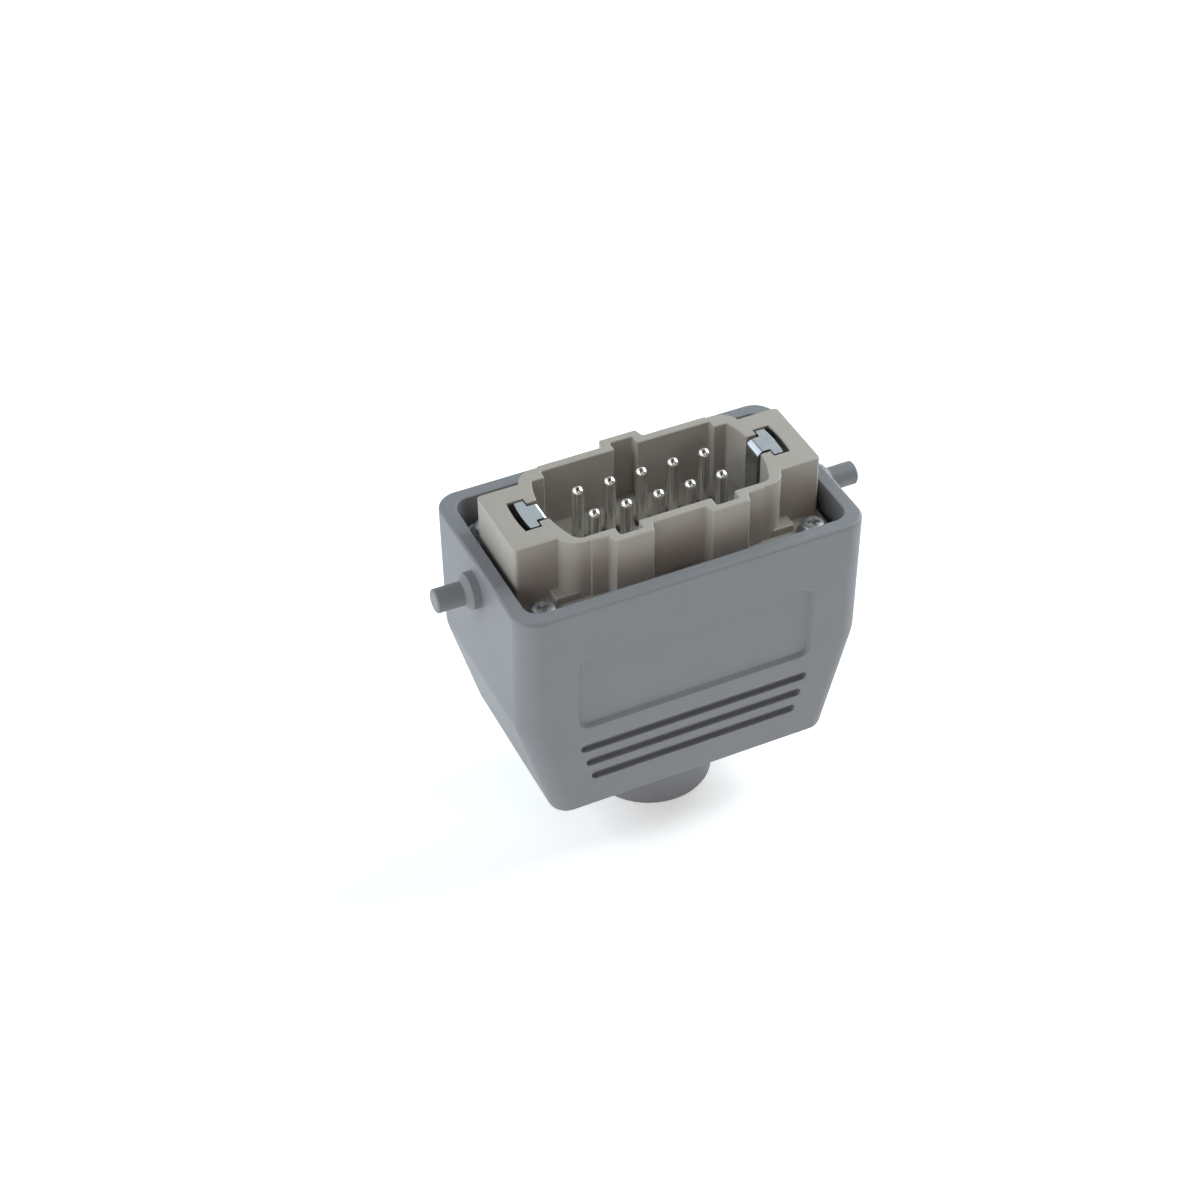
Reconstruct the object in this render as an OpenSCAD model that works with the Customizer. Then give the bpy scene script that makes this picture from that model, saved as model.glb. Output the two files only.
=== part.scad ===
// Rectangular multipole connector: a die-cast hood with a straight cable entry and two locking
// pegs, fitted with a ten-pole male screw insert. Sizes are in millimetres. The hood stands on
// the end face of its cable entry with its mouth up, X along the length, origin under its middle.

/* [Hood] */
// Length over the upright end walls
hood_l = 73; // [71:0.5:82]
// Width over the long walls at the rim
hood_w = 43; // [42:0.5:50]
// Height from the flat base to the rim
hood_h = 52; // [48:0.5:66]
// Wall thickness of the casting
wall = 3.1; // [2.6:0.1:3.5]
// Outer radius of the upright corners
corner_r = 4.8; // [4.5:0.1:7]
// Outer radius to which the tapered corners sharpen at the base
base_corner_r = 3.6; // [1:0.1:4]
// Draft of the long walls, in degrees
draft = 1; // [0.6:0.1:1.6]
// Depth below the rim at which the end walls turn inwards
taper_depth = 28.5; // [26:0.5:32]
// Inward run of each end wall from that turn to the base
taper_run = 6.6; // [4:0.1:8]
// Radius of the outer edges of the base
base_edge_r = 1.2; // [0.8:0.1:2.5]
// Radius of the inner edges of the floor
floor_edge_r = 2; // [1.2:0.1:3]

/* [Cable entry] */
// Outer diameter of the cable entry collar
collar_d = 26.3; // [24:0.1:30]
// Length of the collar below the base
collar_h = 15.5; // [12:0.5:20]
// Core diameter of the entry thread
entry_d = 18.4; // [16:0.1:20]
// Depth of the entry thread from the end of the collar
entry_thread_l = 13.5; // [10:0.5:15]
// Relief round the entry behind its thread
entry_relief = 0.8; // [0.4:0.1:1.2]
// Chamfer at the mouth of the entry
entry_chamfer = 1; // [0.5:0.1:1.4]

/* [Locking pegs] */
// Length over the two locking pegs
peg_span = 90.1; // [87:0.1:94]
// Diameter of a peg
peg_d = 4.8; // [4.4:0.1:5.6]
// Diameter of the boss at the root of a peg
peg_boss_d = 7.4; // [6.8:0.1:8.6]
// Length of that boss
peg_boss_l = 2.9; // [2.2:0.1:3.4]
// Length of the cone at its end
peg_shoulder = 1.1; // [0.6:0.1:1.4]
// Depth of the peg axis below the rim
peg_drop = 6.5; // [5.5:0.1:9]
// Chamfer at the end of a peg
peg_chamfer = 0.3; // [0.2:0.1:0.6]

/* [Long faces] */
// Length of the label recess
label_l = 50.2; // [44:0.2:51]
// Height of the label recess
label_h = 18.2; // [14:0.1:19]
// Depth of the top edge of the label recess below the rim
label_drop = 12.3; // [12:0.1:14]
// How deep the label recess is sunk
label_sink = 0.8; // [0.4:0.1:1]
// Corner radius of the label recess
label_r = 2.5; // [1.8:0.1:4]
// Width of its sloping sides
label_slope = 1; // [0.4:0.1:1.5]
// Width of a grip groove
groove_w = 1.9; // [1.2:0.1:2.2]
// How deep a grip groove is sunk
groove_sink = 1.3; // [0.8:0.1:1.5]
// Length of the upper grip groove
groove_l = 49.2; // [40:0.2:51]
// Length that each lower groove loses
groove_loss = 2.2; // [0:0.1:4]
// Depth of the upper groove below the rim
groove_drop = 35.9; // [34:0.1:38]
// Spacing of the grooves
groove_pitch = 4.05; // [3:0.05:4.4]

/* [Insert] */
// Spacing of the contacts along a row
contact_pitch = 6.7; // [6.4:0.05:7]
// Spacing of the two contact rows
row_spacing = 7.5; // [7:0.1:8]
// Length from the end of the socket to the edge of the flange
end_block_l = 10; // [9.4:0.05:10.6]
// Room between a contact row and the long wall of the socket
socket_side_room = 6.8; // [6.4:0.1:7.2]
// Depth of the socket
socket_depth = 13.3; // [12:0.1:16]
// Height of the insert above the rim of the hood
insert_rise = 7.8; // [6.5:0.1:9]
// Wall of the socket
socket_wall = 1.85; // [1.5:0.05:2.2]
// Radius of the curved socket ends
end_arc_r = 24; // [22:0.5:30]
// Room between the end blocks and the heads of the fixing screws
head_room = 1.9; // [1:0.1:2.6]
// Distance of a coding key from the middle
key_x = 10; // [9:0.1:11]
// Inner width of a coding key
key_w = 4.8; // [4:0.1:5.4]
// How far a coding key stands out of the socket wall
key_reach = 2.1; // [1.6:0.1:2.3]
// Thickness of the insert flange
flange_t = 3.5; // [3:0.1:4.5]
// Gap between the flange and the end walls of the hood
flange_end_gap = 1.05; // [0.6:0.05:1.4]
// Gap between the flange and the long walls of the hood at the rim
flange_side_gap = 1.4; // [0.8:0.05:1.8]
// Depth of the terminal block below the flange
block_depth = 16; // [15:0.5:20]

/* [Contacts] */
// Diameter of a contact pin
pin_d = 2.5; // [2:0.05:2.8]
// Depth of the pin tips below the top of the insert
tip_drop = 0.5; // [0.4:0.05:3]
// Diameter of a terminal barrel
barrel_d = 5.4; // [5:0.1:5.8]
// Length of a terminal barrel
barrel_l = 14; // [13:0.1:14.8]
// Bore of a terminal barrel for the wire
wire_d = 3.2; // [2.8:0.1:3.4]
// Thickness of a wire guard
guard_t = 0.4; // [0.3:0.05:0.5]

/* [Earth contacts] */
// Sheet thickness of an earth contact
pe_t = 0.9; // [0.7:0.05:1.1]
// Width of the upright leg of an earth contact
pe_leg_w = 4.4; // [3.8:0.1:5]
// Width of its T-shaped head
pe_head_w = 8; // [7:0.1:9]
// Reach of the head from the inner face of the leg
pe_head_reach = 4.65; // [4:0.05:5.2]
// Width of its terminal tail
pe_tail_w = 9; // [8:0.1:10]
// Length of its terminal tail below the flange
pe_tail_l = 14; // [13.4:0.1:15]

/* [Screws] */
// Nominal diameter of the fixing and terminal screws
screw_d = 3; // [2.6:0.1:3.2]
// Nominal diameter of the earth screws
pe_screw_d = 4; // [3.6:0.1:4.4]
// Length of a fixing screw under its head
fixing_l = 14; // [11:0.5:18]
// Length of a terminal screw under its head
terminal_l = 5; // [4.6:0.1:5.2]
// Thickness of a lock washer
washer_t = 0.7; // [0.5:0.05:1]

/* [Fits] */
// Clearance round a screw in its own thread
thread_clear = 0.05; // [0.02:0.01:0.1]
// Clearance round a screw in a through hole
hole_clear = 0.2; // [0.1:0.05:0.3]
// Clearance round a contact in the moulding
contact_clear = 0.1; // [0.05:0.01:0.15]
// Clearance round an earth contact in the moulding
pe_clear = 0.1; // [0.05:0.01:0.15]

/* [Hidden] */
$fn = 64;
columns = 5;
// How far a cutting shape runs past the face that it cuts
past = 1;
// Reach of shapes that only bound another one
far = 4 * hood_l;

// Levels
rim_z = collar_h + hood_h;
insert_top = rim_z + insert_rise;
flange_top = insert_top - socket_depth;
flange_bot = flange_top - flange_t;
seat_z = flange_bot - pe_t;
block_bot = flange_bot - block_depth;

// Flange and its fixings
flange_l = hood_l - 2 * wall - 2 * flange_end_gap;
flange_w = hood_w - 2 * wall - 2 * flange_side_gap;
flange_r = 3;
ear_inset_x = 3.85;
ear_inset_y = 3.5;
fix_x = flange_l / 2 - ear_inset_x;
fix_y = flange_w / 2 - ear_inset_y;
head_d = screw_d * 1.8;
fixing_head_h = 2.1;

// Hood
taper_angle = atan(taper_run / (hood_h - taper_depth));
// Opening of the tapered corner shapes past a right angle, on each side
corner_flare = 0.4;
core_base_r = (corner_r - wall) / 2;
groove_count = 3;
groove_r = groove_w / 2 - 0.01;
pillar_wall = 2.5;
pillar_half = screw_d / 2 + pillar_wall;
pillar_edge_r = 1.2;
// Depth of a tapped hole past the end of its screw
tap_spare = 2;
hole_depth = fixing_l - washer_t - flange_t - pe_t + tap_spare;

// Socket and shroud
row_y = row_spacing / 2;
socket_x = flange_l / 2 - end_block_l;
socket_y = row_y + socket_side_room;
arc_x = socket_x - end_arc_r;
socket_corner_r = 2;
shroud_y = socket_y + socket_wall;
// The corners of the shroud stand back from its long walls and past the socket
corner_back = 0.4;
corner_past = 1.05;
shroud_corner_r = 4;
shroud_corner_x = socket_x + corner_past;
// The back corners of the socket are stepped in
shoulder_l = 4.35;
shoulder_step = 1.95;
shoulder_x = socket_x - shoulder_l;
shoulder_y = socket_y - shoulder_step;
// The end blocks stand back from the edge of the flange
block_back = 0.85;
block_end_x = flange_l / 2 - block_back;
block_edge_r = 0.8;
end_block_w = 2 * (fix_y - head_d / 2 - head_room);
key_wall = 1.5;
key_flank = 0.6;
key_out_w = key_w + 2 * key_wall;
// Play over the key of the mating insert
key_play = 0.2;
key_floor = key_reach + key_play;
pad_in = 3.1;
pad_out = 1.8;
pad_h = 1.5;

// Terminals
barrel_box_w = barrel_d - 1;
barrel_box_wall = 2.6;
barrel_box_reach = wire_d / 2 + barrel_box_wall;
neck_d = pin_d + 1.1;
wire_depth = 11;
screw_drop = 7.5;
guard_w = wire_d - 1.2;
guard_l = 7;
// The guard lies inside the wire bore, under the end of its screw
guard_face = wire_d / 2 - guard_t;
terminal_head_h = 1.9;
terminal_edge_r = 1;
chamber_w = barrel_d + 2 * contact_clear;
access_d = head_d + 0.7;

// Earth contacts
// The leg stands a little inside the curved end of the socket
pe_x = socket_x - 0.15;
pe_neck_l = 2.4;
pe_bend_r = 0.4;
pe_slot_gap = 0.6;
pe_head_gap = 0.35;
pe_back_gap = 1.1;
pe_back_depth = 6;
pe_sink = 0.1;
pe_bar_h = 4.5;
pe_edge = 0.5;
pe_bar_w = flange_w - 2 * pe_edge;
pe_ear_w = 2 * ear_inset_y - pe_edge;
pe_ear_end = flange_l / 2 - pe_edge;
pe_screw_drop = 9;
pe_burr_l = 1.6;
pe_burr_wall = 0.8;
pe_screw_stub = 0.6;
saddle_w = pe_tail_w - 0.6;
saddle_t = 1.2;
saddle_lip = 1.6;
pe_head_d = pe_screw_d * 1.9;
pe_screw_head_h = 2.6;
pe_screw_l = saddle_lip + saddle_t + pe_t + pe_burr_l + pe_screw_stub;
// The terminal block ends clear of the earth screws
block_gap = 1.9;
block_x = pe_x - pe_burr_l - pe_screw_stub - block_gap;

HOOD_GREY = [0.49, 0.50, 0.52];
PLASTIC = [0.67, 0.63, 0.59];
SILVER = [0.85, 0.85, 0.84];
TIN = [0.78, 0.79, 0.80];
STEEL = [0.68, 0.69, 0.71];

// Rectangle centred on the origin with round corners
module round_rect(l, w, r) {
    square([l - 2 * r, w], center = true);
    square([l, w - 2 * r], center = true);
    for (sx = [-1, 1], sy = [-1, 1])
        translate([sx * (l / 2 - r), sy * (w / 2 - r)]) circle(r);
}

// Outline that is the same left and right, from the points of its right half
module mirrored_outline(right) {
    polygon(concat(right, [for (i = [len(right) - 1:-1:0]) [-right[i][0], right[i][1]]]));
}

// Upright section with round lower edges: the wall leans in by lean degrees below turn_z
module upright_profile(half_top, turn_z, floor_z, lean, edge_r) {
    half_base = half_top - (turn_z - floor_z) * tan(lean);
    touch = edge_r / tan(45 + lean / 2);
    mirrored_outline([[half_base - touch, floor_z],
                      [half_base + touch * sin(lean), floor_z + touch * cos(lean)],
                      [half_top, turn_z],
                      [half_top, far]]);
    for (s = [-1, 1])
        translate([s * (half_base - touch), floor_z + edge_r]) circle(edge_r);
}

// Everything behind the front long wall, round at its two upright corners
module long_wall_bound(inset) {
    half_l = hood_l / 2 - inset;
    r = corner_r - inset;
    translate([0, inset - hood_w / 2, rim_z]) rotate([draft, 0, 0])
        translate([0, 0, -far / 2]) linear_extrude(far) {
            translate([-half_l, r]) square([2 * half_l, far]);
            translate([r - half_l, 0]) square([2 * (half_l - r), far]);
            for (s = [-1, 1])
                translate([s * (half_l - r), r]) circle(r);
        }
}

// Everything inside the round edge between the front long wall and the left tapered wall. The
// edge is a cone that holds a ball of radius top_r at the turn and one of base_r at the base.
module tapered_corner_bound(inset, top_r, base_r) {
    half_angle = 45 + corner_flare;
    turn = taper_depth - inset * tan(taper_angle / 2);
    ball_z = -top_r * tan(taper_angle / 2);
    fall = (hood_h - inset - turn) / cos(taper_angle);
    apex_z = ball_z - fall * top_r / (top_r - base_r);
    reach = ball_z - apex_z;
    ball_out = top_r / sin(half_angle);
    axis_lean = atan(ball_out / reach);
    axis_l = norm([ball_out, reach]);
    cone_l = 3 * axis_l;
    facet_lean = atan(top_r / tan(half_angle) * cos(half_angle) / reach);
    side = far * [cos(2 * corner_flare), -sin(2 * corner_flare)];
    translate([inset - hood_l / 2, inset - hood_w / 2, rim_z]) rotate([draft, 0, 0])
        translate([0, 0, -turn / cos(draft)]) rotate([0, -taper_angle, 0]) {
            intersection() {
                translate([0, 0, -far / 2]) linear_extrude(far)
                    polygon([[0, 0], side, [far, far], [side[1], side[0]]]);
                translate([0, 0, apex_z]) rotate([0, facet_lean, 45])
                    translate([0, -far / 2, -far / 2]) cube(far);
            }
            translate([0, 0, apex_z]) rotate([0, axis_lean, 45])
                cylinder(h = cone_l, r1 = 0, r2 = cone_l * tan(asin(top_r / axis_l)));
        }
}

// Solid inside the faces of the hood, moved in by inset
module hood_form(inset, edge_r, base_r) {
    floor_z = collar_h + inset;
    top_r = corner_r - inset;
    turn_z = rim_z - taper_depth + inset * tan(taper_angle / 2);
    intersection() {
        rotate([90, 0, 0]) translate([0, 0, -far / 2]) linear_extrude(far)
            upright_profile(hood_l / 2 - inset, turn_z, floor_z, taper_angle, edge_r);
        rotate([90, 0, 90]) translate([0, 0, -far / 2]) linear_extrude(far)
            upright_profile(hood_w / 2 - inset, rim_z, floor_z, draft, edge_r);
        long_wall_bound(inset);
        rotate(180) long_wall_bound(inset);
        tapered_corner_bound(inset, top_r, base_r);
        rotate(180) tapered_corner_bound(inset, top_r, base_r);
        mirror([1, 0, 0]) tapered_corner_bound(inset, top_r, base_r);
        mirror([0, 1, 0]) tapered_corner_bound(inset, top_r, base_r);
    }
}

// Places children on both long faces: x along the face, y into the wall, z up from the rim
module on_long_faces() {
    for (turn = [0, 180])
        rotate(turn) translate([0, -hood_w / 2, rim_z]) rotate([draft, 0, 0]) children();
}

// Flat-bottomed recess of a long face, sunk by depth, from its outline
module face_recess(drop, depth) {
    translate([0, depth, -drop]) rotate([90, 0, 0]) linear_extrude(depth + past) children();
}

// Recess of a long face with sloping sides: l by h at the face, narrower by slope all round at depth
module sloped_recess(l, h, r, depth, slope) {
    flare = past * slope / depth;
    for (span = [[l, h, 0], [h, l, 90]])
        rotate([90, span[2], 0]) rotate([90, 0, 90]) translate([0, 0, r - span[0] / 2])
            linear_extrude(span[0] - 2 * r)
                mirrored_outline([[span[1] / 2 - slope, -depth], [span[1] / 2 + flare, past]]);
    for (sx = [-1, 1], sz = [-1, 1])
        translate([sx * (l / 2 - r), -past, sz * (h / 2 - r)]) rotate([-90, 0, 0])
            cylinder(h = depth + past, r1 = r + flare, r2 = r - slope);
}

// Corner pillar that carries one corner of the insert
module pillar() {
    translate([fix_x - pillar_half, fix_y - pillar_half, 0]) linear_extrude(seat_z) {
        translate([pillar_edge_r, 0]) square(far);
        translate([0, pillar_edge_r]) square(far);
        translate([pillar_edge_r, pillar_edge_r]) circle(pillar_edge_r);
    }
}

// One locking peg on the right end wall, with the boss at its root
module peg() {
    tip = peg_span / 2 - hood_l / 2;
    boss_r = peg_boss_d / 2;
    peg_r = peg_d / 2;
    translate([hood_l / 2, 0, rim_z - peg_drop]) rotate([0, 90, 0]) rotate_extrude()
        polygon([[0, -wall / 2], [boss_r, -wall / 2],
                 [boss_r, peg_boss_l - peg_shoulder], [peg_r, peg_boss_l],
                 [peg_r, tip - peg_chamfer], [peg_r - peg_chamfer, tip], [0, tip]]);
}

// Bore of the cable entry: chamfered mouth, thread core, relief behind the thread
module entry_bore() {
    mouth_r = entry_d / 2 + entry_chamfer;
    translate([0, 0, -past]) cylinder(d = entry_d, h = collar_h + wall + 2 * past);
    translate([0, 0, entry_thread_l])
        cylinder(d = entry_d + 2 * entry_relief, h = collar_h + wall + past - entry_thread_l);
    translate([0, 0, -past]) cylinder(r = mouth_r, h = past);
    cylinder(r1 = mouth_r, r2 = entry_d / 2, h = entry_chamfer);
}

module hood() {
    color(HOOD_GREY) difference() {
        union() {
            intersection() {
                hood_form(0, base_edge_r, base_corner_r);
                translate([-far / 2, -far / 2, 0]) cube([far, far, rim_z]);
            }
            cylinder(d = collar_d, h = collar_h + wall / 2);
            for (turn = [0, 180])
                rotate(turn) peg();
        }
        difference() {
            hood_form(wall, floor_edge_r, core_base_r);
            for (turn = [0, 180])
                rotate(turn) {
                    pillar();
                    mirror([1, 0, 0]) pillar();
                }
        }
        entry_bore();
        for (sx = [-1, 1], sy = [-1, 1])
            translate([sx * fix_x, sy * fix_y, seat_z - hole_depth])
                cylinder(d = screw_d + 2 * thread_clear, h = hole_depth + past);
        on_long_faces() {
            translate([0, 0, -label_drop - label_h / 2])
                sloped_recess(label_l, label_h, label_r, label_sink, label_slope);
            for (i = [0:groove_count - 1])
                face_recess(groove_drop + i * groove_pitch, groove_sink)
                    round_rect(groove_l - i * groove_loss, groove_w, groove_r);
        }
    }
}

// Hollow of the socket: curved ends, shouldered at the back, round at the front corners
module socket_outline() {
    corner_y = socket_corner_r - socket_y;
    reach = end_arc_r - socket_corner_r;
    corner_x = sqrt(reach * reach - corner_y * corner_y);
    touch = [corner_x, corner_y] * (end_arc_r / reach);
    difference() {
        intersection() {
            square([far, 2 * socket_y], center = true);
            translate([arc_x, 0]) circle(end_arc_r);
            translate([-arc_x, 0]) circle(end_arc_r);
        }
        for (s = [-1, 1]) {
            translate([s * (shoulder_x + far / 2), shoulder_y + far / 2]) square(far, center = true);
            polygon([[s * (arc_x + corner_x), -socket_y], [s * (arc_x + touch[0]), touch[1]],
                     [s * far, touch[1]], [s * far, -far], [s * (arc_x + corner_x), -far]]);
        }
    }
    for (s = [-1, 1])
        translate([s * (arc_x + corner_x), corner_y]) circle(socket_corner_r);
}

// Places children at the three coding keys, y away from the middle of the socket
module at_keys() {
    for (s = [-1, 1])
        translate([s * key_x, 0]) mirror([0, 1]) children();
    children();
}

// Outline of the socket wall with its keys and the two end blocks
module shroud_outline() {
    round_rect(2 * shroud_corner_x, 2 * (shroud_y - corner_back), shroud_corner_r);
    square([2 * shoulder_x, 2 * shroud_y], center = true);
    round_rect(2 * block_end_x, end_block_w, block_edge_r);
    at_keys() mirrored_outline([[key_out_w / 2 + key_flank, shroud_y - past],
                                [key_out_w / 2 + key_flank, shroud_y],
                                [key_out_w / 2, shroud_y + key_reach]]);
}

// Small pad in the front corner between an end block and the shroud
module corner_pad() {
    translate([shroud_corner_x - pad_in, corner_back - shroud_y, flange_top - past])
        cube([pad_in + pad_out, shroud_y - corner_back, pad_h + past]);
}

// Places children at every contact, y outwards from the middle between the rows
module at_contact(i) {
    column = i % columns;
    rotate(i < columns ? 180 : 0)
        translate([(column - (columns - 1) / 2) * contact_pitch, row_y, 0]) children();
}

// Plan of a terminal barrel: round, with a square shoulder for its screw
module barrel_outline() {
    circle(d = barrel_d);
    translate([-barrel_box_w / 2, 0]) square([barrel_box_w, barrel_box_reach]);
}

// Square chamber of one contact in the moulding, open below, with its screw access at the side
module contact_chamber() {
    translate([-chamber_w / 2, -chamber_w / 2, block_bot - past])
        cube([chamber_w, chamber_w / 2 + barrel_box_reach + contact_clear, block_depth + past]);
    translate([0, 0, flange_bot - past]) cylinder(d = neck_d + 2 * contact_clear, h = flange_t + 2 * past);
    translate([0, 0, flange_bot - screw_drop]) rotate([-90, 0, 0]) cylinder(d = access_d, h = far);
}

// Plan of the right earth contact's head, grown by side and end gaps
module pe_head_outline(side_gap, end_gap, neck_gap) {
    head_r = pe_x + pe_head_reach - arc_x + end_gap;
    neck_end = pe_x + pe_neck_l;
    intersection() {
        union() {
            translate([neck_end - side_gap, -pe_head_w / 2 - side_gap])
                square([far, pe_head_w + 2 * side_gap]);
            translate([pe_x, -pe_leg_w / 2 - neck_gap]) square([far, pe_leg_w + 2 * neck_gap]);
        }
        translate([arc_x, 0]) circle(head_r);
    }
}

// Room for the right earth contact: plate recess, slot behind its head and slot for its leg
module pe_room() {
    plate_z = insert_top - pe_sink - pe_t;
    translate([0, 0, plate_z]) linear_extrude(far) pe_head_outline(pe_head_gap, 0, pe_slot_gap);
    translate([0, 0, insert_top - pe_back_depth]) linear_extrude(far) difference() {
        pe_head_outline(pe_head_gap, pe_back_gap, pe_slot_gap);
        translate([arc_x, 0]) circle(pe_x + pe_head_reach - arc_x - pe_clear);
    }
    translate([0, -pe_leg_w / 2 - pe_slot_gap, 0]) {
        translate([pe_x - pe_clear, 0, flange_bot - past])
            cube([pe_t + 2 * pe_clear, pe_leg_w + 2 * pe_slot_gap, far]);
        translate([pe_x, 0, plate_z - pe_bend_r - pe_clear])
            cube([pe_t + pe_bend_r + pe_clear, pe_leg_w + 2 * pe_slot_gap, far]);
    }
}

module insert_body() {
    color(PLASTIC) difference() {
        union() {
            translate([0, 0, flange_bot]) linear_extrude(flange_t) round_rect(flange_l, flange_w, flange_r);
            translate([0, 0, flange_top]) linear_extrude(socket_depth) difference() {
                shroud_outline();
                socket_outline();
                at_keys() translate([-key_w / 2, 0]) square([key_w, socket_y + key_floor]);
            }
            corner_pad();
            mirror([1, 0, 0]) corner_pad();
            translate([0, 0, block_bot]) linear_extrude(block_depth)
                round_rect(2 * block_x, 2 * shroud_y, terminal_edge_r);
        }
        for (i = [0:2 * columns - 1])
            at_contact(i) contact_chamber();
        for (sx = [-1, 1], sy = [-1, 1])
            translate([sx * fix_x, sy * fix_y, flange_bot - past])
                cylinder(d = screw_d + 2 * hole_clear, h = flange_t + 2 * past);
        for (turn = [0, 180])
            rotate(turn) pe_room();
    }
}

// One turned contact: pin with a round tip, neck, and terminal barrel with its wire bore
module contact_pin(i) {
    pin_r = pin_d / 2;
    tip_z = insert_top - tip_drop - pin_r;
    color(SILVER) at_contact(i) difference() {
        union() {
            translate([0, 0, flange_bot - barrel_l]) linear_extrude(barrel_l) barrel_outline();
            translate([0, 0, flange_bot - past]) cylinder(d = neck_d, h = flange_t + past);
            translate([0, 0, flange_bot]) cylinder(d = pin_d, h = tip_z - flange_bot);
            translate([0, 0, tip_z]) sphere(pin_r);
        }
        translate([0, 0, flange_bot - barrel_l - past]) cylinder(d = wire_d, h = wire_depth + past);
        translate([0, 0, flange_bot - screw_drop]) rotate([-90, 0, 0])
            cylinder(d = screw_d + 2 * thread_clear, h = far);
    }
}

// Screw with its head above z = 0 and a cross recess
module screw(d, l, cap_d, cap_h) {
    recess_w = cap_d * 0.17;
    recess_l = cap_d * 0.58;
    recess_z = cap_h * 0.4;
    difference() {
        union() {
            translate([0, 0, -l]) cylinder(d = d, h = l + cap_h / 2);
            cylinder(d = cap_d, h = cap_h);
        }
        for (turn = [0, 90])
            rotate(turn) translate([-recess_l / 2, -recess_w / 2, recess_z])
                cube([recess_l, recess_w, cap_h]);
    }
}

module terminal_screws() {
    color(STEEL) for (i = [0:2 * columns - 1])
        at_contact(i) translate([0, guard_face + terminal_l + thread_clear, flange_bot - screw_drop])
            rotate([-90, 0, 0]) screw(screw_d, terminal_l, head_d, terminal_head_h);
}

module wire_guards() {
    color(STEEL) for (i = [0:2 * columns - 1])
        at_contact(i) translate([-guard_w / 2, guard_face - guard_t, flange_bot - screw_drop - guard_l / 2])
            cube([guard_w, guard_t, guard_l]);
}

// Side view of an earth contact's sheet from its leg to its bent-over head
module pe_head_profile() {
    top = insert_top - pe_sink;
    outer_r = pe_bend_r + pe_t;
    difference() {
        union() {
            translate([pe_x, flange_bot - past]) square([pe_t, top - outer_r - flange_bot + past]);
            translate([pe_x + outer_r, top - pe_t]) square([far, pe_t]);
            intersection() {
                translate([pe_x + outer_r, top - outer_r]) circle(outer_r);
                translate([pe_x, top - outer_r]) square(outer_r);
            }
        }
        translate([pe_x + outer_r, top - outer_r]) circle(pe_bend_r);
    }
}

// The right earth contact: T head, leg, cross bar with two ears under the flange, terminal tail
module pe_contact() {
    burr_d = pe_screw_d + 2 * pe_burr_wall;
    difference() {
        union() {
            intersection() {
                rotate([90, 0, 0]) translate([0, 0, -far / 2]) linear_extrude(far) pe_head_profile();
                linear_extrude(far) pe_head_outline(0, 0, 0);
            }
            translate([pe_x, -pe_bar_w / 2, flange_bot - pe_bar_h]) cube([pe_t, pe_bar_w, pe_bar_h]);
            translate([pe_x, -pe_tail_w / 2, flange_bot - pe_tail_l]) cube([pe_t, pe_tail_w, pe_tail_l]);
            for (s = [-1, 1])
                translate([pe_x, s * fix_y - pe_ear_w / 2, seat_z])
                    cube([pe_ear_end - pe_x, pe_ear_w, pe_t]);
            translate([pe_x, 0, flange_bot - pe_screw_drop]) rotate([0, -90, 0])
                cylinder(d = burr_d, h = pe_burr_l);
        }
        translate([pe_x - past - pe_burr_l, 0, flange_bot - pe_screw_drop]) rotate([0, 90, 0])
            cylinder(d = pe_screw_d + 2 * thread_clear, h = pe_t + pe_burr_l + 2 * past);
        for (s = [-1, 1])
            translate([fix_x, s * fix_y, seat_z - past])
                cylinder(d = screw_d + 2 * hole_clear, h = pe_t + 2 * past);
    }
}

module pe_contact_left() {
    color(TIN) rotate(180) pe_contact();
}

module pe_contact_right() {
    color(TIN) pe_contact();
}

// Wire saddle of the right earth terminal: a plate with two lips towards the tail
module pe_clamp() {
    translate([pe_x + pe_t, 0, flange_bot - pe_screw_drop]) difference() {
        translate([0, -saddle_w / 2, -saddle_w / 2]) cube([saddle_lip + saddle_t, saddle_w, saddle_w]);
        translate([-past, saddle_t - saddle_w / 2, -saddle_w / 2 - past])
            cube([saddle_lip + past, saddle_w - 2 * saddle_t, saddle_w + 2 * past]);
        rotate([0, 90, 0]) cylinder(d = pe_screw_d + 2 * hole_clear, h = far);
    }
}

module pe_clamp_left() {
    color(STEEL) rotate(180) pe_clamp();
}

module pe_clamp_right() {
    color(STEEL) pe_clamp();
}

module pe_screws() {
    color(STEEL) for (turn = [0, 180])
        rotate(turn) translate([pe_x + pe_t + saddle_lip + saddle_t, 0, flange_bot - pe_screw_drop])
            rotate([0, 90, 0]) screw(pe_screw_d, pe_screw_l, pe_head_d, pe_screw_head_h);
}

module fixing_screws() {
    color(STEEL) for (sx = [-1, 1], sy = [-1, 1])
        translate([sx * fix_x, sy * fix_y, flange_top + washer_t])
            screw(screw_d, fixing_l, head_d, fixing_head_h);
}

// Split spring washers under the heads of the fixing screws
module lock_washers() {
    split = 0.5;
    color(STEEL) for (sx = [-1, 1], sy = [-1, 1])
        translate([sx * fix_x, sy * fix_y, flange_top]) difference() {
            cylinder(d = head_d, h = washer_t);
            translate([0, 0, -past]) cylinder(d = screw_d + 2 * hole_clear, h = washer_t + 2 * past);
            translate([0, -split / 2, -past]) cube([head_d, split, washer_t + 2 * past]);
        }
}

hood();
insert_body();
for (i = [0:2 * columns - 1])
    contact_pin(i);
pe_contact_left();
pe_contact_right();
pe_clamp_left();
pe_clamp_right();
pe_screws();
terminal_screws();
wire_guards();
fixing_screws();
lock_washers();
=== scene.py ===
import math

import bmesh
import bpy
from mathutils import Matrix, Vector
from mathutils.geometry import tessellate_polygon


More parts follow.
